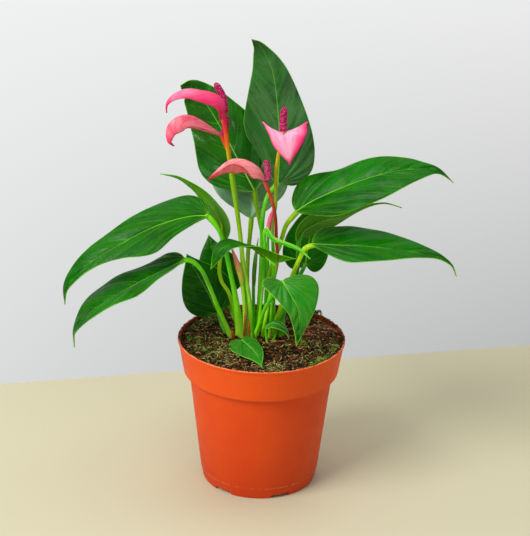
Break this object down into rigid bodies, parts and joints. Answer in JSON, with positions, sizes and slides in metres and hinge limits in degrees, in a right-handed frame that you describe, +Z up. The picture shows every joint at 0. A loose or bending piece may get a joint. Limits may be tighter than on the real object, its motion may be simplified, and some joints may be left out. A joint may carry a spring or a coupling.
{
  "type": "potted flamingo flower",
  "caption": "Flowering anthurium with long green leaves and pink blooms, standing in a round plastic nursery pot filled with soil.",
  "frame": {"origin": "middle of the pot's foot, on the surface that it stands on", "axes": "+Z up along the pot's axis, -Y towards the front from which the picture was taken, +X to the right seen from there"},
  "size_m": [0.2725, 0.1582, 0.3201],
  "materials": {
    "leaf_blade": "glossy leaf cuticle, deep green with pale yellow-green veins",
    "leaf_stalk": "smooth lime-green stalk, satin",
    "bloom_stem": "smooth stem, olive green turning red-brown near the bloom",
    "spathe": "waxy pink bract",
    "spadix": "magenta spike studded with small florets",
    "bud": "rolled salmon-pink bud",
    "pot_plastic": "moulded terracotta-orange nursery pot, satin",
    "soil": "damp dark potting mix with fibres and moss"
  },
  "bodies": {
    "root": {"bloom_front_spadix": "spadix", "bloom_front_spathe": "spathe", "bloom_front_stem": "bloom_stem", "bloom_left_spadix": "spadix", "bloom_left_spathe": "spathe", "bloom_left_stem": "bloom_stem", "bloom_right_spadix": "spadix", "bloom_right_spathe": "spathe", "bloom_right_stem": "bloom_stem", "bloom_top_spadix": "spadix", "bloom_top_spathe": "spathe", "bloom_top_stem": "bloom_stem", "bud_pink": "bud", "bud_pink_stem": "bloom_stem", "bud_sheathed": "bud", "bud_sheathed_stem": "bloom_stem", "bud_spear": "leaf_stalk", "bud_spear_stem": "bloom_stem", "leaf_arched_blade": "leaf_blade", "leaf_arched_stalk": "leaf_stalk", "leaf_heart_blade": "leaf_blade", "leaf_heart_stalk": "leaf_stalk", "leaf_left_high_blade": "leaf_blade", "leaf_left_high_stalk": "leaf_stalk", "leaf_left_low_blade": "leaf_blade", "leaf_left_low_stalk": "leaf_stalk", "leaf_left_narrow_blade": "leaf_blade", "leaf_left_narrow_stalk": "leaf_stalk", "leaf_low_blade": "leaf_blade", "leaf_low_stalk": "leaf_stalk", "leaf_rear_blade": "leaf_blade", "leaf_rear_stalk": "leaf_stalk", "leaf_right_far_blade": "leaf_blade", "leaf_right_far_stalk": "leaf_stalk", "leaf_right_high_blade": "leaf_blade", "leaf_right_high_stalk": "leaf_stalk", "leaf_right_low_blade": "leaf_blade", "leaf_right_low_stalk": "leaf_stalk", "leaf_rolled_blade": "leaf_blade", "leaf_rolled_stalk": "leaf_stalk", "leaf_shade_left_blade": "leaf_blade", "leaf_shade_left_stalk": "leaf_stalk", "leaf_shade_rear_blade": "leaf_blade", "leaf_shade_rear_stalk": "leaf_stalk", "leaf_shade_right_blade": "leaf_blade", "leaf_shade_right_stalk": "leaf_stalk", "leaf_tall_blade": "leaf_blade", "leaf_tall_stalk": "leaf_stalk", "leaf_upper_left_blade": "leaf_blade", "leaf_upper_left_stalk": "leaf_stalk", "leaf_young_blade": "leaf_blade", "leaf_young_stalk": "leaf_stalk", "pot": "pot_plastic", "soil": "soil"}
  },
  "joints": []
}
